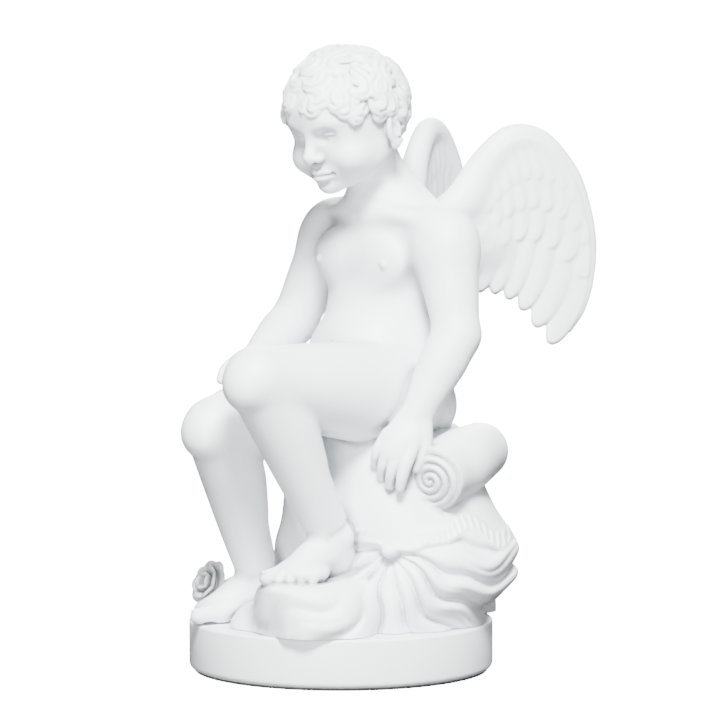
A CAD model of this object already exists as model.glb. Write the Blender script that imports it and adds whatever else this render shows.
"""Seated winged putto on a draped rock: the finished casting, its turned plinth, its felt pad, the studio.

Sizes are millimetres in the statue's own frame (+Z up, the figure faces -Y, its left side is +X), and are
turned to metres as each mesh is made. The casting is modelled as clay: tubes, eggs and lofts are pressed
together with soft joins on a grid of distances, and the skin where the distance is nought is its mesh.
"""

import math

import bpy
import numpy as np
import openvdb
from mathutils import Matrix, Vector


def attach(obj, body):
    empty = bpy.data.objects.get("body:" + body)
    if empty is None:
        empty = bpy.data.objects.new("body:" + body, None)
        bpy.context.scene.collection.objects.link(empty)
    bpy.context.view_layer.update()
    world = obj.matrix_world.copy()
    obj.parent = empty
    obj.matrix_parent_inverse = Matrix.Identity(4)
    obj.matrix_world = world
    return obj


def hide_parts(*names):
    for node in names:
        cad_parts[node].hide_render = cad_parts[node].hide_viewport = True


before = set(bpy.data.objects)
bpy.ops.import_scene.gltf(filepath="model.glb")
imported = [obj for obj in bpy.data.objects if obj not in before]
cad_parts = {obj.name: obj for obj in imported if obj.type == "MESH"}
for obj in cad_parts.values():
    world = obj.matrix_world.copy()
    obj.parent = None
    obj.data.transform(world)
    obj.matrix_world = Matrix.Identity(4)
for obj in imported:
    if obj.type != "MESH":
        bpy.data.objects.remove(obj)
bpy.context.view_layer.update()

MM = 0.001
GRID_STEP = 1.0
CASTING_TRIANGLES = 190_000
CASTING_LOW = (-160, -192, 40)
CASTING_HIGH = (178, 262, 620)

# Plinth and felt
PLINTH_RADIUS = 143
PLINTH_TOP = 48
PLINTH_FOOT_ROUND = 6
PLINTH_RIM_ROUND = 2.5
FELT_RADIUS = 138
FELT_THICKNESS = 2
ROCK_BASE = PLINTH_TOP + 0.3
SEAT_TOP = 225

# Head: place, turn in degrees
HEAD_CENTRE = (0, 6, 520)
HEAD_SCALE = 0.9
HEAD_YAW, HEAD_PITCH, HEAD_ROLL = 6, 15, -4

# Limbs: joints
LEFT_ARM = dict(shoulder=(75, 63, 408), elbow=(106, 50, 320), wrist=(100, 2, 246))
RIGHT_ARM = dict(shoulder=(-75, 63, 408), elbow=(-108, 36, 318), wrist=(-74, -38, 294))
LEFT_LEG = dict(hip=(40, 34, 258), knee=(52, -150, 288), ankle=(52, -58, 136))
RIGHT_LEG = dict(hip=(-40, 46, 258), knee=(-32, -128, 234), ankle=(-52, -58, 89.5))
ANKLE_HEIGHT = 40

# Wings: a flat layout of span s outwards and rise t upwards, set on the back by these values
WING_ROOT = (22, 94, 402)
WING_SWEEP = math.radians(32)
WING_CUP = 22
WING_SPAN = 158
WING_LOW = (-20, 70, 290)
WING_HIGH = (140, 262, 530)
WING_RIDGE = [(-12, -4), (28, 30), (52, 70), (78, 94), (108, 90), (136, 60)]
WING_EDGE = [(149, 30), (157, -6), (156, -42), (149, -70), (138, -90)]
WING_GIRTH = (26, 20, 14.5, 12.5, 11, 9.5, 8.5, 7.5, 6.2, 4.8, 2.4)
FEATHER_TIPS = [(126, -108), (105, -84), (86, -63), (66, -52), (45, -48), (24, -45)]
FEATHER_BOW = 30


def smooth(rows, samples):
    """Catmull-Rom curve through rows of numbers, with a number of samples on each stretch."""
    p = np.asarray(rows, float)
    p = np.vstack([2 * p[0] - p[1], p, 2 * p[-1] - p[-2]])
    t = np.linspace(0, 1, samples, endpoint=False)[:, None]
    stretches = [
        0.5 * (2 * b + (c - a) * t + (2 * a - 5 * b + 4 * c - d) * t**2 + (3 * b - a - 3 * c + d) * t**3)
        for a, b, c, d in zip(p, p[1:], p[2:], p[3:])
    ]
    return np.vstack([*stretches, p[-2:-1]])


def mix(a, b, t):
    """Point that lies the share t of the way from a to b."""
    return (1 - t) * np.asarray(a, float) + t * np.asarray(b, float)


def unit(v):
    """The direction of a vector, with length 1."""
    return np.asarray(v, float) / np.linalg.norm(v)


class Clay:
    """A block of space that holds at each grid point the distance to the surface, in mm, negative inside."""

    FAR = 60.0
    EDGE = 4.0

    def __init__(self, low, high, step):
        self.low = np.array(low, float)
        self.step = step
        self.axes = [np.arange(a, b, step, dtype=np.float32) for a, b in zip(low, high)]
        self.distance = np.full([len(axis) for axis in self.axes], self.FAR, np.float32)

    def window(self, low, high):
        """Slices of the grid points inside a box, and their x, y and z as arrays that broadcast."""
        cuts = tuple(slice(*np.searchsorted(axis, (a, b))) for axis, a, b in zip(self.axes, low, high))
        x, y, z = (axis[cut] for axis, cut in zip(self.axes, cuts))
        return cuts, (x[:, None, None], y[None, :, None], z[None, None, :])

    def merge(self, cuts, new, blend, cut=False):
        """Soft union, or soft cut: the lesser (or greater) of two distances, eased by blend mm where they
        meet."""
        old = self.distance[cuts]
        if cut:
            new = -new
        ease = np.clip(1 - np.abs(old - new) / blend, 0, None)
        ease *= ease * (blend / 4)
        self.distance[cuts] = np.maximum(old, new) + ease if cut else np.minimum(old, new) - ease

    def tube(self, rows, blend, face=(0, 0, 1), flat=1.0, samples=5, cut=False):
        """Tube along a smooth curve through rows of (x, y, z, radius), squeezed to the share flat along
        face. It is the hull of balls on the curve's chords: with m the growth of the radius per mm of chord,
        the ball nearest to a point lies m / sqrt(1 - m * m) times the point's distance from the chord
        further on than the point."""
        spine = smooth(rows, samples)
        margin = blend + self.EDGE
        reach = spine[:, 3].max() + margin
        cuts, _ = self.window(spine[:, :3].min(0) - reach, spine[:, :3].max(0) + reach)
        starts = [c.start for c in cuts]
        new = np.full([c.stop - c.start for c in cuts], self.FAR, np.float32)
        face = unit(face)
        extra = 1 / flat**2 - 1
        for a, b in zip(spine, spine[1:]):
            span = (b - a)[:3]
            reach = max(a[3], b[3]) + margin
            inner, (x, y, z) = self.window(np.minimum(a, b)[:3] - reach, np.maximum(a, b)[:3] + reach)
            weight = span + extra * (face @ span) * face
            length = math.sqrt(span @ weight)
            growth = np.clip((b[3] - a[3]) / length, -0.9, 0.9)
            x, y, z = x - a[0], y - a[1], z - a[2]
            along = (x * weight[0] + y * weight[1] + z * weight[2]) / length
            square = x**2 + y**2 + z**2
            if extra:
                square = square + extra * (x * face[0] + y * face[1] + z * face[2]) ** 2
            off = np.sqrt(np.maximum(square - along**2, 0))
            ball = np.clip(along + off * growth / math.sqrt(1 - growth**2), 0, length)
            here = np.sqrt(off**2 + (along - ball) ** 2) - (a[3] + (b[3] - a[3]) / length * ball)
            part = new[tuple(slice(c.start - s, c.stop - s) for c, s in zip(inner, starts))]
            np.minimum(part, here, out=part)
        self.merge(cuts, new, blend, cut)

    def egg(self, centre, radii, blend, turn=np.eye(3), cut=False, plane=None):
        """Ball stretched to three radii along the columns of turn: with u the point over the radii, the
        distance is |u| (|u| - 1) over the length of u over the radii. A plane keeps only the side that it
        points to."""
        centre = np.asarray(centre, float)
        margin = max(radii) + blend + self.EDGE
        cuts, (x, y, z) = self.window(centre - margin, centre + margin)
        x, y, z = x - centre[0], y - centre[1], z - centre[2]
        share = [(x * a[0] + y * a[1] + z * a[2]) / r for a, r in zip(np.asarray(turn).T, radii)]
        size = np.sqrt(share[0] ** 2 + share[1] ** 2 + share[2] ** 2)
        slope = np.sqrt(sum((s / r) ** 2 for s, r in zip(share, radii))) + 1e-6
        new = size * (size - 1) / slope
        if plane is not None:
            new = np.maximum(new, -(x * plane[0] + y * plane[1] + z * plane[2]))
        self.merge(cuts, new.astype(np.float32), blend, cut)

    def loft(self, rows, blend, wobble=None):
        """Stack of level ovals through rows of (height, middle x, middle y, half width, half depth): the
        distance is that of the point's share of the oval from 1, times the smaller half. wobble adds to it
        by x, y, z."""
        table = smooth(rows, 8)
        reach = table[:, 3:].max() + blend + self.EDGE
        low = np.append(table[:, 1:3].min(0) - reach, table[0, 0] - blend - self.EDGE)
        high = np.append(table[:, 1:3].max(0) + reach, table[-1, 0] + blend + self.EDGE)
        cuts, (x, y, z) = self.window(low, high)
        mx, my, a, b = (np.interp(z, table[:, 0], table[:, k]).astype(np.float32) for k in range(1, 5))
        new = (np.sqrt(((x - mx) / a) ** 2 + ((y - my) / b) ** 2) - 1) * np.minimum(a, b)
        new = np.maximum(new, np.maximum(table[0, 0] - z, z - table[-1, 0]))
        if wobble is not None:
            new = new + wobble(x, y, z)
        self.merge(cuts, new, blend)

    def leave(self, start, way, reach=170):
        """Point where a straight line from inside the clay leaves it for the last time."""
        way = unit(way)
        run = np.arange(0, reach, 0.5)
        spots = np.asarray(start, float) + run[:, None] * way
        cell = np.rint((spots - self.low) / self.step).astype(int)
        cell = np.clip(cell, 0, np.array(self.distance.shape) - 1)
        depth = self.distance[tuple(cell.T)]
        last = np.flatnonzero(depth < 0).max()
        return spots[last] - depth[last] * way

    def sample(self, points):
        """Distance at points, straight between the grid points round each."""
        cell = (points - self.low) / self.step
        cell = np.clip(cell, 0, np.array(self.distance.shape) - 1.001)
        base = cell.astype(int)
        share = cell - base
        total = np.zeros(len(points), np.float32)
        for corner in np.ndindex(2, 2, 2):
            weight = np.where(corner, share, 1 - share).prod(1)
            total += weight * self.distance[tuple((base + corner).T)]
        return total

    def mesh(self, name):
        """Quads of the skin where the distance is nought, in metres."""
        grid = openvdb.FloatGrid(background=self.FAR)
        grid.copyFromArray(np.clip(self.distance, -self.FAR, self.FAR))
        spots, quads = largest_part(*grid.convertToQuads(0.0))
        spots = (spots * self.step + self.low) * MM
        return new_mesh(name, spots, quads)


def largest_part(spots, quads):
    """The connected part of a mesh with the most points, without stray bits and bubbles. Each point takes
    the least label among its neighbours, again and again, until none changes."""
    a = quads.ravel()
    b = np.roll(quads, -1, axis=1).ravel()
    label = np.arange(len(spots))
    changed = True
    while changed:
        low = np.minimum(label[a], label[b])
        new = label.copy()
        np.minimum.at(new, a, low)
        np.minimum.at(new, b, low)
        new = new[new]
        changed = (new != label).any()
        label = new
    keep = label == np.bincount(label).argmax()
    place = np.cumsum(keep) - 1
    return spots[keep], place[quads[keep[quads[:, 0]]]]


def new_mesh(name, spots, faces):
    """Mesh object from arrays of points and faces of one size, smooth all over."""
    mesh = bpy.data.meshes.new(name)
    count = len(faces)
    sides = faces.shape[1]
    mesh.vertices.add(len(spots))
    mesh.vertices.foreach_set("co", np.asarray(spots, np.float32).ravel())
    mesh.loops.add(count * sides)
    mesh.loops.foreach_set("vertex_index", np.asarray(faces, np.int32).ravel())
    mesh.polygons.add(count)
    mesh.polygons.foreach_set("loop_start", np.arange(count, dtype=np.int32) * sides)
    mesh.update(calc_edges=True)
    mesh.polygons.foreach_set("use_smooth", np.ones(count, bool))
    mesh.validate()
    piece = bpy.data.objects.new(name, mesh)
    bpy.context.scene.collection.objects.link(piece)
    return piece


class Placed:
    """Clay tools that work in a frame of their own, set in the statue by a turn matrix, a middle and a
    scale."""

    def __init__(self, clay, turn, middle, scale=1.0):
        self.clay = clay
        self.turn = np.asarray(turn, float)
        self.middle = np.asarray(middle, float)
        self.scale = scale

    def at(self, points):
        """Points of this frame in the statue's frame."""
        return self.scale * np.asarray(points, float) @ self.turn.T + self.middle

    def tube(self, rows, blend, face=(0, 0, 1), **how):
        """The clay's tube, from rows in this frame."""
        rows = np.asarray(rows, float)
        placed = np.column_stack([self.at(rows[:, :3]), self.scale * rows[:, 3]])
        self.clay.tube(placed, self.scale * blend, face=self.turn @ np.asarray(face, float), **how)

    def egg(self, centre, radii, blend, plane=None, **how):
        """The clay's egg, with its radii along this frame's axes."""
        if plane is not None:
            plane = self.turn @ np.asarray(plane, float)
        radii = self.scale * np.asarray(radii, float)
        self.clay.egg(self.at(centre), radii, self.scale * blend, turn=self.turn, plane=plane, **how)


def turn_about(axis, degrees):
    """Matrix of a turn about X, Y or Z."""
    return np.array(Matrix.Rotation(math.radians(degrees), 3, axis))


def torso(clay):
    """Trunk: ovals up the spine, softened by chest, belly, shoulder blades and seat, with the spine's
    furrow."""
    clay.loft(
        [(224, 0, 56, 62, 46), (240, 0, 56, 69, 54), (262, 0, 52, 71, 57), (300, 0, 55, 67, 58),
         (340, 0, 61, 64, 54), (374, 0, 65, 65, 51), (400, 0, 66, 61, 46), (420, 0, 64, 51, 40),
         (440, 0, 59, 37, 33), (456, 0, 52, 22, 24), (466, 0, 48, 8, 10)],
        blend=6,
    )
    clay.tube([(0, 62, 426, 36), (0, 50, 454, 29), (0, 32, 486, 28)], blend=15)
    for side in (1, -1):
        clay.tube([(78 * side, 64, 400, 25), (44 * side, 64, 416, 28), (8 * side, 58, 440, 28)], blend=15)
        clay.egg((30 * side, 25, 388), (31, 14, 23), blend=18)
        clay.egg((38 * side, 99, 390), (23, 12, 31), blend=16)
        clay.egg((32 * side, 68, 248), (38, 36, 36), blend=9)
        clay.tube([(9 * side, 28, 428, 4), (36 * side, 31, 430, 4), (66 * side, 44, 426, 4)], blend=12)
    clay.egg((0, 12, 290), (50, 26, 40), blend=24)
    clay.tube([(0, 115, 276, 3), (0, 119, 318, 4), (0, 121, 360, 4), (0, 116, 404, 3)], blend=18, cut=True)
    navel = clay.leave((0, 55, 305), (0, -1, 0))
    clay.egg(navel, (3.2, 5, 4.2), blend=5, cut=True)
    for side in (1, -1):
        clay.egg(clay.leave((33 * side, 60, 384), (0.25 * side, -1, 0)), (3.4, 2.4, 3.4), blend=3)


def limb(start, end, girths):
    """Rows of a tube from one joint to the next, by pairs of the share of the way and the girth there."""
    return [(*mix(start, end, share), girth) for share, girth in girths]


def arm(clay, shoulder, elbow, wrist):
    """Upper arm and forearm, which swell at the shoulder and below the elbow, and the shoulder's muscle."""
    clay.tube(limb(shoulder, elbow, [(0, 29), (0.4, 27), (0.8, 23), (1, 21.5)]), blend=14, samples=10)
    clay.tube(limb(elbow, wrist, [(0, 21.5), (0.3, 22.5), (0.7, 18), (1, 13.8)]), blend=7, samples=10)
    clay.egg(mix(shoulder, elbow, 0.12) + (0.06 * shoulder[0], -2, 0), (24, 26, 30), blend=14)


def ring_crease(clay, middle, axis, girth):
    """Soft crease in the flesh all round a limb of that girth: a ring that cuts its skin by about 1 mm."""
    axis = unit(axis)
    across = unit(np.cross(axis, (0.3, 0.2, 0.9)))
    up = np.cross(axis, across)
    angle = np.linspace(0, 2 * np.pi, 17)[:, None]
    ring = np.asarray(middle) + (girth + 4) * (np.cos(angle) * across + np.sin(angle) * up)
    clay.tube(np.column_stack([ring, np.full(len(ring), 5)]), blend=3, samples=2, cut=True)


def hand(clay, wrist, heading, back, curls, thumb):
    """Palm, four fingers and a thumb, in a frame of (towards the tips, towards the thumb, back of the hand).
    Each finger is three bones that bend down by its curl in degrees at each joint."""
    ahead = unit(heading)
    up = unit(np.asarray(back) - ahead * np.dot(back, ahead))
    across = np.cross(ahead, up) * thumb
    tool = Placed(clay, np.column_stack([ahead, across, up]), wrist)
    tool.tube([(-8, 0, 0, 14.5), (8, 0, 1, 16.5), (24, 0, 1.5, 18.5), (33, 0, 0, 17.5)], blend=5, flat=0.6)
    tool.egg((14, 11, -4), (15, 9, 9), blend=6)
    for finger, (share, curl) in enumerate(zip((0.94, 1, 0.95, 0.8), curls)):
        side = 9.2 * (1.5 - finger)
        spread = math.radians(4 * (1.5 - finger))
        place = np.array([28 - 1.2 * abs(finger - 1), side, 2])
        rows = [(*place, 6.4)]
        bend = 0.35 * curl
        for bone, girth in ((20, 6), (13, 5.4), (11, 4.6)):
            angle = math.radians(bend)
            level = math.cos(angle)
            step = np.array([level * math.cos(spread), level * math.sin(spread), -math.sin(angle)])
            place = place + share * bone * step
            rows.append((*place, girth))
            bend += curl
        tool.tube(rows, blend=1.4)
    tool.tube([(4, 11, -3, 9), (18, 19, -5, 7.8), (30, 22.5, -8, 6.6), (40, 22, -12, 5.2)], blend=3)


def hands(clay):
    """Left hand hanging over the end of the roll, right hand resting on the thigh."""
    hand(
        clay, LEFT_ARM["wrist"], heading=(-0.02, -0.62, -0.78), back=(0.5, -0.7, 0.5),
        curls=(18, 25, 29, 33), thumb=-1,
    )
    hand(
        clay, RIGHT_ARM["wrist"], heading=(0.45, -0.86, -0.14), back=(-0.2, -0.15, 1),
        curls=(8, 9, 10, 12), thumb=-1,
    )


def leg(clay, hip, knee, ankle):
    """Thigh, shin with the calf behind it, the knee cap, and the crease above the ankle."""
    clay.tube(limb(hip, knee, [(0, 47), (0.4, 45), (0.75, 37), (1, 29.5)]), blend=5, samples=12)
    shin = unit(np.subtract(ankle, knee))
    front = unit(np.subtract(knee, mix(hip, ankle, 0.5)))
    front = unit(front - shin * (front @ shin))
    below_knee = mix(knee, ankle, 0.3) - 3 * front
    clay.tube(
        [(*knee, 28.5), (*below_knee, 29), (*mix(knee, ankle, 0.7), 23), (*ankle, 19)],
        blend=6, samples=12,
    )
    calf = mix(knee, ankle, 0.34) - 12 * front
    clay.tube([(*(calf - 26 * shin), 14), (*calf, 21), (*(calf + 34 * shin), 14)], blend=14)
    cap = np.asarray(knee) + 20 * front - 4 * shin
    clay.egg(cap, (15, 11, 15), blend=14)
    ring_crease(clay, mix(knee, ankle, 0.96), np.subtract(ankle, knee), 19.3)


def foot(clay, ankle, heading, big_toe):
    """Foot in a frame of (ahead, towards the big toe, up) that starts on the sole under the ankle: heel,
    instep, ball, ankle bones, the arch's hollow, and toes that arch and press down at their tips."""
    turn = math.radians(heading)
    ahead = np.array([math.sin(turn), -math.cos(turn), 0])
    across = big_toe * np.array([math.cos(turn), math.sin(turn), 0])
    sole = np.subtract(ankle, (0, 0, ANKLE_HEIGHT))
    tool = Placed(clay, np.column_stack([ahead, across, (0, 0, 1)]), sole)
    tool.egg((-6, 0, 17), (19, 16.5, 17), blend=8)
    tool.tube([(-2, 0, 27, 18), (12, 0, 26, 18), (30, 2, 20, 15.5), (48, 3, 13, 12)], blend=8)
    tool.egg((42, -2, 10.5), (24, 24, 10.5), blend=8)
    tool.egg((48, 12, 9.5), (14, 11, 9.5), blend=6)
    for side in (1, -1):
        tool.egg((-2, 15.5 * side, 39), (7, 6, 8), blend=7)
    tool.egg((20, 24, 2), (20, 9, 8), blend=8, cut=True)
    tool.tube([(52, 13.5, 9, 8.6), (66, 14, 9, 7.2), (76, 13.5, 7.4, 7.4)], blend=2)
    tool.egg((79, 13.5, 13.2), (4, 4.6, 1.6), blend=1.2)
    for toe in range(1, 5):
        side = 13 - 8.3 * toe
        start = 50 - 3 * toe
        length = 25 - 3 * toe
        tool.tube(
            [(start, side, 10, 6), (start + 0.5 * length, side, 11.5, 5.1),
             (start + 0.8 * length, side, 9, 5.2), (start + length, side, 6, 5.6 - 0.2 * toe)],
            blend=1.2,
        )
        tool.egg((start + length + 2.5, side, 9.6 - 0.2 * toe), (2.2, 2.8, 1.4), blend=1)


def feet(clay):
    """Left foot on the cloth, right foot on the plinth, both turned out a little."""
    foot(clay, LEFT_LEG["ankle"], heading=8, big_toe=-1)
    foot(clay, RIGHT_LEG["ankle"], heading=-8, big_toe=1)


def head_frame(clay):
    """Tools in the head's own frame: +X to its left, -Y ahead of its face, +Z up through the crown."""
    turn = turn_about("Z", HEAD_YAW) @ turn_about("X", HEAD_PITCH) @ turn_about("Y", HEAD_ROLL)
    return Placed(clay, turn, HEAD_CENTRE, HEAD_SCALE)


def face(tool):
    """Skull and a generic calm child's face: eyes below mid height, short nose, full cheeks, closed
    mouth."""
    tool.egg((0, 6, 14), (55, 62, 56), blend=14)
    tool.egg((0, -12, -20), (45, 44, 46), blend=22)
    tool.egg((0, -22, 18), (41, 38, 34), blend=20)
    for side in (1, -1):
        tool.tube([(33 * side, 0, -30, 17), (27 * side, -20, -42, 17), (10 * side, -34, -52, 13)], blend=12)
        tool.egg((28 * side, -34, -31), (20, 20, 18), blend=11)
    tool.egg((0, -47, -43), (19, 11, 11), blend=9)
    tool.egg((0, -44, -59), (13, 12, 10), blend=8)
    for side in (1, -1):
        tool.egg((21 * side, -60, -5), (14, 11, 9), blend=6, cut=True)
        brow = [(9 * side, -55, 6, 2.2), (21 * side, -55.5, 11.5, 2.8), (36 * side, -43, 7, 1.8)]
        tool.tube(brow, blend=8)
        eye = (19.5 * side, -39.5, -6)
        tool.egg(eye, (11, 12.2, 11.4), blend=0.8)
        tool.egg(eye, (13, 14.8, 14.2), blend=0.8, plane=lid_plane(11))
        tool.egg(eye, (12.4, 13.8, 13.4), blend=1.2, plane=lid_plane(-24) * -1)
    tool.tube([(0, -54, 4, 5), (0, -57.5, -8, 5.4), (0, -62, -18, 6.6), (0, -65, -23.5, 7.4)], blend=6)
    for side in (1, -1):
        tool.egg((7.6 * side, -59.5, -26), (5, 6.4, 4.8), blend=3)
        tool.egg((4.2 * side, -64, -31), (2, 3, 2), blend=1.6, cut=True)
    tool.tube([(0, -61, -32, 1.4), (0, -60, -38, 1.8)], blend=4, cut=True)
    upper_lip = [(-15, -51.5, -44.6, 1.6), (-7, -56.6, -41.8, 3.2), (0, -58, -42.8, 2.8)]
    lower_lip = [(-12, -52.5, -46.8, 2), (-6, -56.2, -48.8, 3.8), (0, -57.4, -49.2, 4)]
    parting = [(-16, -52, -44.6, 0.8), (-8, -58.6, -45.5, 0.8), (0, -61, -45.9, 0.8)]
    tool.tube(both_sides(upper_lip), blend=2.2)
    tool.tube(both_sides(lower_lip), blend=2.2)
    tool.tube(both_sides(parting), blend=1.4, cut=True)
    for side in (1, -1):
        tool.egg((16.5 * side, -53, -44.8), (1.2, 1.6, 1.4), blend=3, cut=True)
    tool.egg((0, -59, -54.8), (9, 4, 2.6), blend=5, cut=True)


def both_sides(rows):
    """Rows that end at the middle plane, and after them their mirror images back out to the other side."""
    return rows + [(-x, y, z, r) for x, y, z, r in rows[-2::-1]]


def lid_plane(degrees):
    """Direction square to a lid's edge, which leaves the eye's front at that height."""
    angle = math.radians(degrees)
    return np.array([0, math.sin(angle), math.cos(angle)])


def ear(tool, side):
    """Ear: a flat base, the rolled rim round it, the hollow and the fold in its middle, and the lobe."""
    middle = np.array([52 * side, 9, -16])
    tool.egg(middle, (8, 10, 15), blend=3)
    angle = np.radians(np.linspace(150, -115, 9))
    flare = np.interp(np.linspace(0, 1, 9), (0, 0.5, 1), (5, 7.5, 5))
    rim = middle + np.column_stack([flare * side, -10.5 * np.cos(angle), 15.5 * np.sin(angle)])
    tool.tube(np.column_stack([rim, np.linspace(2.6, 3.2, 9)]), blend=1.5, samples=3)
    tool.egg(middle + (10.5 * side, -2, -2), (5, 5.5, 9), blend=1.5, cut=True)
    fold = middle + np.array([(7 * side, 2.5, -9), (7.5 * side, 4, 0), (6.5 * side, 2, 8)])
    tool.tube(np.column_stack([fold, (1.6, 2, 1.6)]), blend=1.5)
    tool.egg(middle + (5 * side, -4, -16), (4.4, 5.4, 5.4), blend=2.5)
    tool.egg(middle + (5 * side, -9, -2), (3.6, 3, 4.4), blend=1.5)


def hairline(azimuth):
    """How far the hair reaches down from the crown, in degrees, by the way round from the front."""
    return np.interp(abs(azimuth), (0, 40, 62, 84, 100, 125, 180), (104, 106, 112, 104, 106, 122, 118))


# Hair: rows of locks, lowest first, with their start below the crown and their run in degrees, how many
# there are and the girth of a strand; the egg that they lie on, the crown's tilt, and the strands of a lock
LOCK_ROWS = [(90, 38, 19, 3.9), (71, 48, 19, 4.1), (52, 54, 16, 4.3), (32, 56, 12, 4.4), (8, 58, 7, 4.4)]
HAIR_MIDDLE = np.array([0, 6, 13])
HAIR_RADII = np.array([57, 65, 60])
CROWN_TILT = 24
STRANDS = 3


def hair(tool):
    """Short wavy hair: rows of locks, laid like tiles from the crown down, over a close cap."""
    tool.egg(HAIR_MIDDLE, HAIR_RADII - 1.5, blend=3, plane=(0, 0.45, 0.9))
    tool.egg(HAIR_MIDDLE + (0, 8, -4), HAIR_RADII - (1, 4, 1), blend=3, plane=(0, 1, 0.35))
    chance = np.random.default_rng(11)
    for row, (start, run, count, girth) in enumerate(LOCK_ROWS):
        for lock in range(count):
            place = lock + 0.5 * (row % 2) + chance.uniform(-0.12, 0.12)
            azimuth = (360 * place / count + 180) % 360 - 180
            room = hairline(azimuth) - start
            if room > 12:
                lock_strands(tool, chance, azimuth, start, min(run, 1.05 * room + 8), girth)


def lock_strands(tool, chance, azimuth, start, run, girth):
    """One lock: strands side by side that follow one waving course over the scalp and meet at a hooked tip.
    The course starts at start degrees below the crown, and its heading sways and then curls to one side."""
    steps = 9
    t = np.linspace(0, 1, steps)
    turn = chance.choice((-1, 1))
    heading = turn * (1.0 * np.sin(2 * np.pi * (0.85 * t + chance.uniform(-0.1, 0.1))) - 2.2 * t**3)
    stride = run / (steps - 1)
    down = start + np.concatenate([[0], np.cumsum(stride * np.cos(heading[:-1]))])
    side = np.concatenate([[0], np.cumsum(stride * np.sin(heading[:-1]))])
    width = girth * 1.85 * np.interp(t, (0, 0.25, 0.6, 1), (0.8, 1, 0.9, 0.12))
    lift = np.interp(t, (0, 0.3, 0.8, 1), (-2, 3.5, 7.5, 4)) * np.interp(start, (10, 70), (0.55, 1))
    lift += chance.uniform(-1.5, 1.5)
    thick = girth * np.interp(t, (0, 0.3, 0.7, 0.9, 1), (0.8, 1, 0.95, 0.7, 0.42))
    crown = turn_about("X", -CROWN_TILT)
    for strand in np.arange(STRANDS) - (STRANDS - 1) / 2:
        off = strand * np.degrees(width / 60)
        fall = np.radians(down - off * np.sin(heading))
        ring = np.maximum(np.sin(np.radians(down)), 0.4)
        around = np.radians(azimuth + (side + off * np.cos(heading)) / ring)
        way = np.column_stack([np.sin(fall) * np.sin(around), -np.sin(fall) * np.cos(around), np.cos(fall)])
        way = way @ crown.T
        radius = 1 / np.sqrt(((way / HAIR_RADII) ** 2).sum(1))
        height = lift - 1.1 * strand**2 + chance.uniform(-0.6, 0.6) - 0.5 * thick
        course = HAIR_MIDDLE + way * (radius + height)[:, None]
        tool.tube(np.column_stack([course, thick]), blend=0.4, samples=2)


def wing_layout(clay, side):
    """Window round a wing and, at its grid points, the layout's s and t and the height off the middle of the
    plate."""
    low = np.array(WING_LOW, float)
    high = np.array(WING_HIGH, float)
    if side < 0:
        low[0], high[0] = -high[0], -low[0]
    cuts, (x, y, z) = clay.window(low, high)
    across, back = side * x - WING_ROOT[0], y - WING_ROOT[1]
    s = across * math.sin(WING_SWEEP) + back * math.cos(WING_SWEEP)
    off = across * math.cos(WING_SWEEP) - back * math.sin(WING_SWEEP)
    return cuts, s, z - WING_ROOT[2], off + WING_CUP * (s / WING_SPAN) ** 2


def on_wing(side, s, t):
    """Point in the middle of a wing's plate at s and t of the layout."""
    off = -WING_CUP * (s / WING_SPAN) ** 2
    x = WING_ROOT[0] + s * math.sin(WING_SWEEP) + off * math.cos(WING_SWEEP)
    y = WING_ROOT[1] + s * math.cos(WING_SWEEP) - off * math.sin(WING_SWEEP)
    return (side * x, y, WING_ROOT[2] + t)


# Ranks of feathers, longest first: how many, their share of the full length, how high they lie, their swell
FEATHER_RANKS = [(7, 1.0, 2.6, 2.2), (8, 0.62, 4.8, 2.0), (10, 0.42, 6.6, 1.8), (12, 0.24, 8.0, 1.5)]
FEATHER_TILT = 1.7
FEATHER_FALL = 2.2
LAYOUT_LOW = np.array([-40.0, -130.0])
LAYOUT_SIZE = (230, 260)


def stem_line(ridge, tips, u, length):
    """Course of a feather's stem on the layout, from the ridge to its tip; u runs from the outermost one
    inwards."""
    v = np.linspace(0, 1, 60)
    root = ridge[int((1 - 0.86 * u) * (len(ridge) - 1))]
    tip = tips[int(u * (len(tips) - 1))]
    stem = mix(root, tip, length * v[:, None])
    stem[:, 0] += FEATHER_BOW * (1 - 0.8 * u) * np.sin(np.pi * length * v)
    return stem


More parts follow.
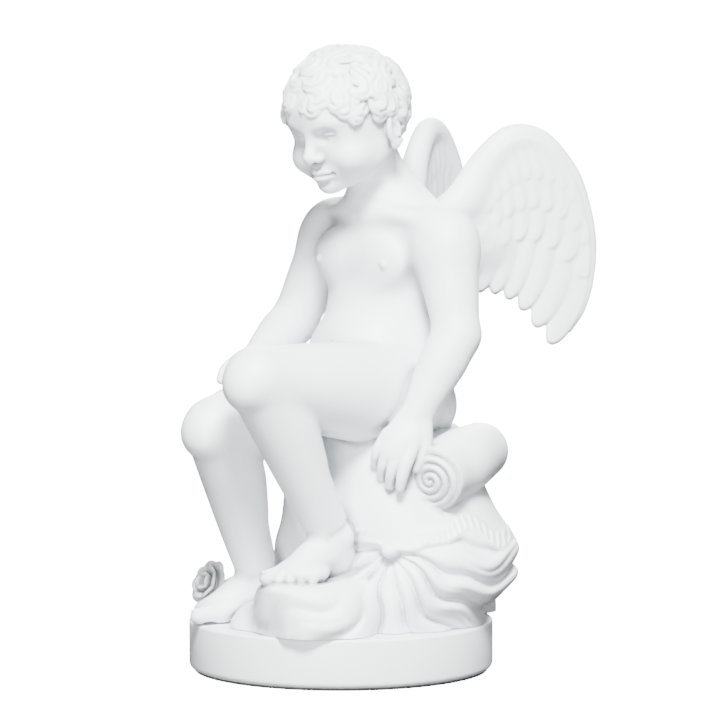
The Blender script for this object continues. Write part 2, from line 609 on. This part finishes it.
def feather_relief():
    """Height of the feathers over the middle of the plate, on a 1 mm grid of the layout. Each feather
    follows its stem, swells across its width and tilts so that it overlaps the next one; the highest one
    shows, none passes the wing's leading edge, and their edges are worn a little."""
    ridge = smooth(WING_RIDGE, 40)
    tips = smooth(FEATHER_TIPS, 40)
    s = LAYOUT_LOW[0] + np.arange(LAYOUT_SIZE[0])[:, None]
    t = LAYOUT_LOW[1] + np.arange(LAYOUT_SIZE[1])[None, :]
    relief = np.full(LAYOUT_SIZE, -40.0)
    for count, length, height, swell in FEATHER_RANKS:
        for feather in range(count):
            stem = stem_line(ridge, tips, (feather + 0.5) / count, length)
            sides = [stem_line(ridge, tips, (feather + k) / count, length) for k in (0, 1)]
            half = 0.62 * np.hypot(*(sides[0] - sides[1]).T)
            away = np.hypot(s[..., None] - stem[:, 0], t[..., None] - stem[:, 1])
            near = away.argmin(2)
            v = near / (len(stem) - 1)
            ahead = np.gradient(stem, axis=0)
            ahead /= np.hypot(*ahead.T)[:, None]
            dx, dy = s - stem[near, 0], t - stem[near, 1]
            side = dx * ahead[near, 1] - dy * ahead[near, 0]
            reach = half * (1 - np.clip((np.linspace(0, 1, len(stem)) - 0.78) / 0.22, 0, 1) ** 2) ** 0.5
            share = np.clip(side / half[near], -1.2, 1.2)
            top = height + swell * (1 - share**2) - FEATHER_TILT * share
            top -= 0.7 * np.exp(-((side / 1.3) ** 2)) * (1 - v**4)
            past = (away - reach).min(2)
            relief = np.maximum(relief, top - FEATHER_FALL * np.maximum(past, 0))
    relief -= 3 * np.maximum(past_edge(s, t), 0)
    for _ in range(3):
        relief[1:-1] = relief[:-2] / 4 + relief[1:-1] / 2 + relief[2:] / 4
        relief[:, 1:-1] = relief[:, :-2] / 4 + relief[:, 1:-1] / 2 + relief[:, 2:] / 4
    return relief


def past_edge(s, t):
    """How far points of the layout lie outside the wing's upper and leading edge, in mm, negative inside."""
    edge = smooth(WING_RIDGE + WING_EDGE, 12)
    ahead = np.gradient(edge, axis=0)
    ahead /= np.hypot(*ahead.T)[:, None]
    near = np.hypot(s[..., None] - edge[:, 0], t[..., None] - edge[:, 1]).argmin(2)
    return (t - edge[near, 1]) * ahead[near, 0] - (s - edge[near, 0]) * ahead[near, 1]


def sample_relief(relief, s, t):
    """Relief at s and t, straight between the points of its grid."""
    column = np.clip(t.ravel() - LAYOUT_LOW[1], 0, LAYOUT_SIZE[1] - 1.01)
    k = column.astype(int)
    share = column - k
    strips = relief[:, k] * (1 - share) + relief[:, k + 1] * share
    row = np.clip(s[..., 0] - LAYOUT_LOW[0], 0, LAYOUT_SIZE[0] - 1.01)
    k = row.astype(int)
    share = (row - k)[..., None]
    return strips[k] * (1 - share) + strips[k + 1] * share


def wing(clay, relief, side):
    """Wing: the feathered plate, the rounded arm along its upper edge and the flesh where it leaves the
    back."""
    cuts, s, t, lift = wing_layout(clay, side)
    top = sample_relief(relief, s, t)
    plate = np.maximum(lift - top, -lift - np.minimum(0.75 * top, 0.5 * top + 1.5))
    clay.merge(cuts, plate.astype(np.float32), 3)
    face = (side * math.cos(WING_SWEEP), -math.sin(WING_SWEEP), 0)
    edge = zip(WING_RIDGE + WING_EDGE, WING_GIRTH)
    clay.tube([(*on_wing(side, s, t), r) for (s, t), r in edge], blend=6, face=face, flat=0.82)
    root = [(-14, -12, 26), (20, -8, 28), (52, -4, 20)]
    clay.tube([(*on_wing(side, s, t), r) for s, t, r in root], blend=14, face=face, flat=0.5)


def stone_swell(x, y, z):
    """Uneven swell of worked stone: crossed waves, long and short."""
    long = np.sin(x / 21 + 1.3) + np.sin(y / 21 + z / 29) + np.sin(z / 21 - x / 36)
    short = np.sin(x / 7.3 + y / 11) + np.sin(y / 8.1 - z / 9) + np.sin(z / 6.7 + x / 13)
    return -2.6 * long - 0.9 * short


def rock(clay):
    """Rock seat: an uneven column with boulders at its foot."""
    clay.loft(
        [(ROCK_BASE - 6, -2, 48, 108, 98), (66, -2, 48, 108, 99), (84, -2, 48, 101, 93),
         (108, -2, 48, 102, 94), (132, -2, 48, 95, 88), (158, -2, 48, 98, 90), (184, -2, 48, 93, 86),
         (206, -2, 48, 92, 84), (SEAT_TOP, -2, 48, 82, 74), (SEAT_TOP + 5, -2, 48, 60, 54)],
        blend=6, wobble=stone_swell,
    )
    for centre, radii in [
        ((-92, -28, 56), (36, 52, 28)),
        ((-2, -54, 50), (40, 36, 34)),
        ((-4, -90, 46), (32, 36, 28)),
        ((-52, 106, 62), (48, 30, 40)),
        ((42, 122, 56), (42, 20, 30)),
    ]:
        clay.egg(centre, radii, blend=8)


# Cloth: upright axes of its side fall and its front spill, and the step at the upper layer's hem
SIDE_AXIS = (56, 37)
FRONT_AXIS = (54, -78)
HEM_STEP = 5

# Where the cloth is gathered, the level direction that its folds spread out to, the way of each valley
# between them in degrees from that direction downwards, the folds all round that hang at the back, and the
# pitch of two of the hem's ribs
GATHER = (104, -32, 124)
SPREAD = (0.669, 0.743)
VALLEYS = (-34, -6, 16, 35, 56, 76, 100, 122, 146, 178, 210)
BACK_FOLDS = 9
RIB_PITCH = 11


def fold_wave(turns):
    """Folds by the number of folds passed: broad round ridges with narrow valleys, from 0 to 1."""
    return (np.sin(np.pi * turns) ** 2 + 0.02) ** 0.4


def gathered_folds(x, y, z):
    """Folds that spread from the gather: how far off it a point lies, the way it lies, and the height of the
    folds, which sway, grow with the distance and split into narrower ones further out."""
    across = SPREAD[0] * (x - GATHER[0]) + SPREAD[1] * (y - GATHER[1])
    down = GATHER[2] - z
    off = np.hypot(across, down)
    way = np.degrees(np.arctan2(down, across))
    way = np.where(way < -90, way + 360, way)
    sway = way + 5 * np.sin(off / 17 + 0.03 * way) + 3 * np.sin(off / 8.5 - 0.05 * way)
    turns = np.interp(sway, VALLEYS, np.arange(len(VALLEYS)))
    broad = 10 * np.clip((off - 4) / 42, 0, 1) * fold_wave(turns)
    narrow = 3.5 * np.clip((off - 45) / 60, 0, 1) * fold_wave(2 * turns + 0.3 * np.sin(off / 21))
    pinch = 1.6 * np.exp(-(((off - 20) / 13) ** 2)) * fold_wave(2 * turns + 0.25)
    return off, way, broad + narrow + pinch


def side_fall_swell(x, y, z):
    """What the side fall's cloth adds to its loft: faint folds in the upper layer, a ribbed band and the
    step at its wavy hem, and below that the gathered folds, which pass into hanging ones at the back."""
    off, way, spread = gathered_folds(x, y, z)
    round_way = np.arctan2(y - SIDE_AXIS[1], x - SIDE_AXIS[0])
    sway = 0.2 * np.sin(2.3 * round_way + 1.1) + 0.15 * np.sin(z / 27 + 2 * round_way)
    turns = BACK_FOLDS * round_way / (2 * np.pi) + sway
    drop = np.clip((215 - z) / 150, 0, 1)
    hanging = (3 + 11 * drop) * fold_wave(turns) + 2.5 * fold_wave(2.3 * turns)
    back = np.clip((np.degrees(round_way) - 45) / 40, 0, 1)
    back = np.maximum(back, np.clip((-110 - np.degrees(round_way)) / 30, 0, 1))
    deep = (1 - back) * spread + back * hanging
    hem = -4 + 6 * np.sin(off / 16 + 0.6) + 3 * np.sin(off / 7)
    under = np.radians(np.minimum(way - hem, 190 + hem - way)) * off / 1.2
    under = np.clip(under, -30, 30)
    above = 1 / (1 + np.exp(under))
    faint = (1 + 6 * drop) * fold_wave(0.6 * turns + z / 90)
    bead = 1.4 * np.exp(-((under / 2.2 + 1.4) ** 2))
    band = np.clip(3 - np.abs(under + 9) / 2, 0, 1) * np.clip((off - 22) / 12, 0, 1) * (1 - back)
    ribs = band * (0.4 + 1.6 * np.sin(2 * np.pi * off / RIB_PITCH) ** 2)
    return -(above * (faint + HEM_STEP + bead + ribs) + (1 - above) * deep - 6)


def front_spill_swell(x, y, z):
    """Folds of the front spill: those of the gather, which deepen from under the foot towards the plinth."""
    drop = np.clip((94 - z) / 30, 0, 1)
    return -0.7 * drop * (gathered_folds(x, y, z)[2] - 5)


def cloth(clay):
    """Cloth over the seat: a blanket down the left side that swells past the plinth's rim and turns under,
    and a spill to the front that the foot rests on."""
    clay.loft(
        [(ROCK_BASE - 6, 58, 20, 68, 80), (62, 60, 22, 73, 83), (82, 65, 35, 80, 86), (102, 67, 43, 85, 87),
         (126, 65, 45, 82, 84), (152, 58, 39, 74, 78), (178, 56, 37, 65, 71), (202, 55, 36, 57, 63),
         (222, 54, 34, 42, 50)],
        blend=10, wobble=side_fall_swell,
    )
    x, y = FRONT_AXIS
    clay.loft(
        [(ROCK_BASE - 6, x, y, 54, 52), (58, x, y, 55, 54), (72, x, y, 54, 57), (86, x, y - 2, 49, 58),
         (94, x, y - 5, 40, 56), (98, x, y - 6, 30, 50)],
        blend=16, wobble=front_spill_swell,
    )
    clay.egg(GATHER, (8, 8, 6), blend=8)
    clay.egg((112, 124, 58), (40, 36, 24), blend=12, cut=True)


# Roll of cloth: its course with the radius, the middle and radius of its wound end, and the spiral's pitch
ROLL = [(110, 32, 195, 30), (104, 58, 201, 31), (86, 98, 206, 27)]
ROLL_END = (122, 2, 189)
ROLL_RADIUS = 30
ROLL_PITCH = 7.5


def cloth_roll(clay):
    """Roll of cloth beside the hip: a tube whose front end is square and wound in a spiral. The spiral's
    relief falls off from the middle of each turn; a turn comes round after each pitch of radius."""
    clay.tube(ROLL, blend=4)
    end = np.array(ROLL_END, float)
    out = unit(end - ROLL[0][:3])
    across = unit(np.cross(out, (0, 0, 1)))
    up = np.cross(across, out)
    cuts, (x, y, z) = clay.window(end - 50, end + 50)
    x, y, z = x - end[0], y - end[1], z - end[2]
    height = x * out[0] + y * out[1] + z * out[2]
    a = x * across[0] + y * across[1] + z * across[2]
    b = x * up[0] + y * up[1] + z * up[2]
    radius = np.hypot(a, b)
    wind = np.minimum(radius, ROLL_RADIUS - 4) / ROLL_PITCH - np.arctan2(b, a) / (2 * np.pi)
    relief = 4 * np.abs(np.sin(np.pi * wind)) ** 0.8 - 0.006 * radius**2
    rim = radius - ROLL_RADIUS
    body = np.maximum(np.maximum(rim, 0.6 * (height - relief)), -height - 34)
    clay.merge(cuts, body.astype(np.float32), 2.5)


# Rings of petals, outermost first: how many, then how far out, how high and how large as shares of the
# blossom's radius, and their lean in degrees
PETAL_RINGS = [(7, 0.66, 0.05, 0.4, 10), (6, 0.46, 0.22, 0.34, 38), (4, 0.22, 0.34, 0.26, 62)]


def blossom(clay, middle, facing, radius):
    """Full blossom: rings of petals, each one cupped and leaning further in, round a bud."""
    out = unit(facing)
    across = unit(np.cross((0, 0, 1), out))
    tool = Placed(clay, np.column_stack([across, np.cross(out, across), out]), middle, radius)
    tool.egg((0, 0, 0), (0.6, 0.6, 0.36), blend=0.1)
    for petals, reach, rise, size, lean in PETAL_RINGS:
        for petal in range(petals):
            angle = 2 * math.pi * (petal + 5 * reach) / petals
            c, s = math.cos(angle), math.sin(angle)
            tilt = np.array([[c, -s, 0], [s, c, 0], [0, 0, 1]]) @ turn_about("Y", -lean)
            leaf = Placed(clay, tool.turn @ tilt, tool.at((reach * c, reach * s, rise)), radius)
            leaf.egg((0, 0, 0), (size, 1.15 * size, 0.09), blend=0.03)
            leaf.egg((-0.1, 0, 0.12), (0.7 * size, 0.8 * size, 0.1), blend=0.05, cut=True)
    tool.egg((0, 0, 0.4), (0.14, 0.14, 0.14), blend=0.03)


def casting():
    """The whole casting, from the rock up. The figure is made in a block of its own, so that its soft joins
    leave the rock alone; the two are then joined, cut off flat at the rock's foot and thinned."""
    clay = Clay(CASTING_LOW, CASTING_HIGH, GRID_STEP)
    rock(clay)
    cloth(clay)
    cloth_roll(clay)
    body = Clay(CASTING_LOW, CASTING_HIGH, GRID_STEP)
    torso(body)
    tool = head_frame(body)
    face(tool)
    leg(body, **LEFT_LEG)
    leg(body, **RIGHT_LEG)
    feet(body)
    arm(body, **LEFT_ARM)
    arm(body, **RIGHT_ARM)
    hands(body)
    ear(tool, 1)
    ear(tool, -1)
    hair(tool)
    relief = feather_relief()
    wing(body, relief, 1)
    wing(body, relief, -1)
    whole = (slice(None),) * 3
    clay.merge(whole, body.distance, 2.5)
    del body
    blossom(clay, (-114, -64, 74), (-0.1, -0.9, 0.4), 23)
    floor = (ROCK_BASE - clay.axes[2])[None, None, :]
    np.maximum(clay.distance, floor, out=clay.distance)
    piece = clay.mesh("putto")
    thin = piece.modifiers.new("thin", "DECIMATE")
    quads = len(piece.data.polygons)
    thin.ratio = min(1, CASTING_TRIANGLES / (2 * quads))
    ready = piece.evaluated_get(bpy.context.evaluated_depsgraph_get())
    dressed = bpy.data.meshes.new_from_object(ready)
    piece.modifiers.remove(thin)
    piece.data = dressed
    note_hollows(clay, dressed)
    return piece


def note_hollows(clay, mesh):
    """Writes to each point how hollow it lies, from 0 to 1: the share by which the clay stands nearer to a
    spot off the skin than the skin right below that spot, for spots 2 and 8 mm off."""
    spots = np.empty((len(mesh.vertices), 3), np.float32)
    mesh.vertices.foreach_get("co", spots.ravel())
    normals = np.empty_like(spots)
    mesh.vertex_normals.foreach_get("vector", normals.ravel())
    hollow = np.zeros(len(spots), np.float32)
    for off, weight in ((2, 0.7), (8, 0.3)):
        hollow += weight * np.clip(1 - clay.sample(spots / MM + off * normals) / off, 0, 1)
    mesh.attributes.new("hollow", "FLOAT", "POINT").data.foreach_set("value", hollow)


def turned(name, profile, sides=160):
    """Round piece: a profile of (radius, height) rows turned about the upright axis, closed at both ends."""
    rows = np.asarray(profile, float)
    angle = np.linspace(0, 2 * np.pi, sides, endpoint=False)
    level = rows[:, 1:] + 0 * angle
    rings = np.stack([rows[:, :1] * np.cos(angle), rows[:, :1] * np.sin(angle), level], axis=-1)
    spots = np.vstack([rings.reshape(-1, 3), [(0, 0, rows[0, 1])], [(0, 0, rows[-1, 1])]])
    ring = np.arange(sides)
    after = (ring + 1) % sides
    base = sides * np.arange(len(rows) - 1)[:, None]
    quads = np.stack([base + ring, base + after, base + sides + after, base + sides + ring], axis=-1)
    quads = quads.reshape(-1, 4)
    foot = len(spots) - 2
    top = len(spots) - 1
    last = sides * (len(rows) - 1)
    under = np.column_stack([0 * ring + foot, after, ring])
    over = np.column_stack([0 * ring + top, last + ring, last + after])
    mesh = bpy.data.meshes.new(name)
    mesh.from_pydata((spots * MM).tolist(), [], quads.tolist() + under.tolist() + over.tolist())
    mesh.polygons.foreach_set("use_smooth", np.arange(len(mesh.polygons)) < len(quads))
    piece = bpy.data.objects.new(name, mesh)
    bpy.context.scene.collection.objects.link(piece)
    return piece


def corner(radius, middle_r, middle_z, start, end, steps=6):
    """Arc of a profile from one angle to another, in degrees."""
    angle = np.radians(np.linspace(start, end, steps))
    return np.column_stack([middle_r + radius * np.cos(angle), middle_z + radius * np.sin(angle)]).tolist()


def linear(code):
    """Linear colour of an sRGB hex code, with alpha 1."""
    levels = np.array([int(code[k:k + 2], 16) for k in (1, 3, 5)]) / 255
    return (*np.where(levels <= 0.04045, levels / 12.92, ((levels + 0.055) / 1.055) ** 2.4), 1)


def add_node(tree, kind, settings=(), **links):
    """A node with its settings. Each link names an input, with _ for a space, and joins it to an output or
    sets its plain value."""
    node = tree.nodes.new(kind)
    for key, value in dict(settings).items():
        setattr(node, key, value)
    for key, value in links.items():
        socket = node.inputs[key.replace("_", " ")]
        if isinstance(value, bpy.types.NodeSocket):
            tree.links.new(value, socket)
        else:
            socket.default_value = value
    return node


# Sizes of the finishes' patterns, in metres
PAINT_CLOUD = 60 * MM
PAINT_GRAIN = 4 * MM
FELT_FIBRE = 1.2 * MM


def white_cast():
    """Cast plaster under white satin paint. To the eye: a soft broad sheen, slow clouds of tone, grey dust in
    the hollows, and a grain, which is drawn coarser than the real one so that it shows."""
    material = bpy.data.materials.new("white_painted_plaster")
    material.use_nodes = True
    tree = material.node_tree
    shader = tree.nodes["Principled BSDF"]
    place = add_node(tree, "ShaderNodeTexCoord").outputs["Object"]
    cloud = add_node(tree, "ShaderNodeTexNoise", Vector=place, Scale=1 / PAINT_CLOUD, Detail=3.0)
    tone = add_node(tree, "ShaderNodeValToRGB", Fac=cloud.outputs["Fac"])
    tone.color_ramp.elements[0].color = linear("#E9EDF0")
    tone.color_ramp.elements[1].color = linear("#F1F4F6")
    hollow = add_node(tree, "ShaderNodeAttribute", {"attribute_name": "hollow"}).outputs["Fac"]
    dust = add_node(tree, "ShaderNodeMapRange", Value=hollow, From_Min=0.1, From_Max=0.6, To_Max=0.8)
    worn = add_node(
        tree, "ShaderNodeMix", {"data_type": "RGBA"},
        Factor=dust.outputs["Result"], A=tone.outputs["Color"], B=linear("#7F8385"),
    )
    tree.links.new(worn.outputs["Result"], shader.inputs["Base Color"])
    grain = add_node(tree, "ShaderNodeTexNoise", Vector=place, Scale=1 / PAINT_GRAIN, Detail=2.0)
    bump = add_node(tree, "ShaderNodeBump", Height=grain.outputs["Fac"], Strength=0.08, Distance=0.0008)
    tree.links.new(bump.outputs["Normal"], shader.inputs["Normal"])
    shader.inputs["Roughness"].default_value = 0.5
    shader.inputs["IOR"].default_value = 1.5
    return material


def dark_felt():
    """Pressed wool felt. To the eye: matt and dark grey, with fibres in clumps of about 1.2 mm."""
    material = bpy.data.materials.new("dark_felt")
    material.use_nodes = True
    tree = material.node_tree
    shader = tree.nodes["Principled BSDF"]
    place = add_node(tree, "ShaderNodeTexCoord").outputs["Object"]
    fibre = add_node(tree, "ShaderNodeTexNoise", Vector=place, Scale=1 / FELT_FIBRE, Detail=4.0)
    tone = add_node(tree, "ShaderNodeValToRGB", Fac=fibre.outputs["Fac"])
    tone.color_ramp.elements[0].color = linear("#2E3031")
    tone.color_ramp.elements[1].color = linear("#55585A")
    tree.links.new(tone.outputs["Color"], shader.inputs["Base Color"])
    shader.inputs["Roughness"].default_value = 0.95
    return material


# Studio, in metres and watts: the floor's half width and glow, and each light's place, width and power
FLOOR_HALF = 60
FLOOR_GLOW = 18
LIGHT_AIM = (0, 0, 0.3)
LIGHTS = [
    ("key", (1.9, -1.5, 3.0), 0.9, 740),
    ("fill", (1.7, -2.4, 0.2), 1.2, 200),
    ("back", (-2.0, 2.2, 1.6), 1.8, 240),
    ("side", (1.9, 2.3, 0.3), 1.5, 40),
]


def stage():
    """White studio: a glowing floor without an edge, an even light all round, and the four soft lights."""
    mesh = bpy.data.meshes.new("floor")
    h = FLOOR_HALF
    mesh.from_pydata([(-h, -h, 0), (h, -h, 0), (h, h, 0), (-h, h, 0)], [], [(0, 1, 2, 3)])
    floor = bpy.data.objects.new("floor", mesh)
    bpy.context.scene.collection.objects.link(floor)
    floor.visible_diffuse = False
    floor.visible_glossy = False
    material = bpy.data.materials.new("white_floor")
    material.use_nodes = True
    shader = material.node_tree.nodes["Principled BSDF"]
    shader.inputs["Base Color"].default_value = linear("#F4F4F4")
    shader.inputs["Roughness"].default_value = 0.8
    shader.inputs["Emission Color"].default_value = linear("#FFFFFF")
    shader.inputs["Emission Strength"].default_value = FLOOR_GLOW
    mesh.materials.append(material)

    world = bpy.data.worlds.new("studio")
    world.use_nodes = True
    tree = world.node_tree
    sky = add_node(tree, "ShaderNodeTexCoord").outputs["Generated"]
    height = add_node(tree, "ShaderNodeSeparateXYZ", Vector=sky).outputs["Z"]
    glow = add_node(
        tree, "ShaderNodeMapRange", Value=height, From_Min=-0.5, From_Max=1.0, To_Min=0.6, To_Max=0.4,
    )
    tree.links.new(glow.outputs["Result"], tree.nodes["Background"].inputs["Strength"])
    bpy.context.scene.world = world

    for name, place, size, power in LIGHTS:
        light = bpy.data.lights.new(name, "AREA")
        light.size = size
        light.energy = power
        lamp = bpy.data.objects.new(name, light)
        lamp.location = place
        aim = Vector(LIGHT_AIM) - Vector(place)
        lamp.rotation_euler = aim.to_track_quat("-Z", "Y").to_euler()
        bpy.context.scene.collection.objects.link(lamp)


# Camera: the photograph's angle, its scale on the upright axis, and the pixel of that axis on the floor
CAMERA_AZIMUTH = math.radians(48)
CAMERA_ELEVATION = math.radians(6)
CAMERA_LENS = 300
CAMERA_SENSOR = 36
IMAGE_PIXELS = 728
PIXEL_MM = 0.943
AXIS_FOOT_PIXEL = (341, 668)


def camera():
    """Camera whose picture has the plinth's foot at its pixel and the photograph's scale on the upright
    axis."""
    a, e = CAMERA_AZIMUTH, CAMERA_ELEVATION
    toward = Vector((math.sin(a) * math.cos(e), -math.cos(a) * math.cos(e), math.sin(e)))
    right = Vector((math.cos(a), math.sin(a), 0))
    up = toward.cross(right)
    half = IMAGE_PIXELS / 2
    target = (right * (half - AXIS_FOOT_PIXEL[0]) + up * (AXIS_FOOT_PIXEL[1] - half)) * PIXEL_MM * MM
    distance = IMAGE_PIXELS * PIXEL_MM * MM * CAMERA_LENS / CAMERA_SENSOR
    lens = bpy.data.cameras.new("camera")
    lens.lens = CAMERA_LENS
    lens.sensor_width = CAMERA_SENSOR
    eye = bpy.data.objects.new("camera", lens)
    turn = Matrix((right, up, toward)).transposed().to_4x4()
    eye.matrix_world = Matrix.Translation(target + toward * distance) @ turn
    bpy.context.scene.collection.objects.link(eye)
    bpy.context.scene.camera = eye


camera()
stage()
plaster = white_cast()
felt = dark_felt()

putto = casting()
putto.data.materials.append(plaster)
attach(putto, "root")
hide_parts("putto_on_rock")

plinth = turned("plinth", [
    *corner(PLINTH_FOOT_ROUND, PLINTH_RADIUS - PLINTH_FOOT_ROUND, FELT_THICKNESS + PLINTH_FOOT_ROUND,
            -90, 0),
    *corner(PLINTH_RIM_ROUND, PLINTH_RADIUS - PLINTH_RIM_ROUND, PLINTH_TOP - PLINTH_RIM_ROUND, 0, 90),
])
plinth.data.materials.append(plaster)
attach(plinth, "root")
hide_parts("round_plinth")

pad = turned("felt", [(FELT_RADIUS, 0), (FELT_RADIUS, FELT_THICKNESS)])
pad.data.materials.append(felt)
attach(pad, "root")
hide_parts("felt_pad")
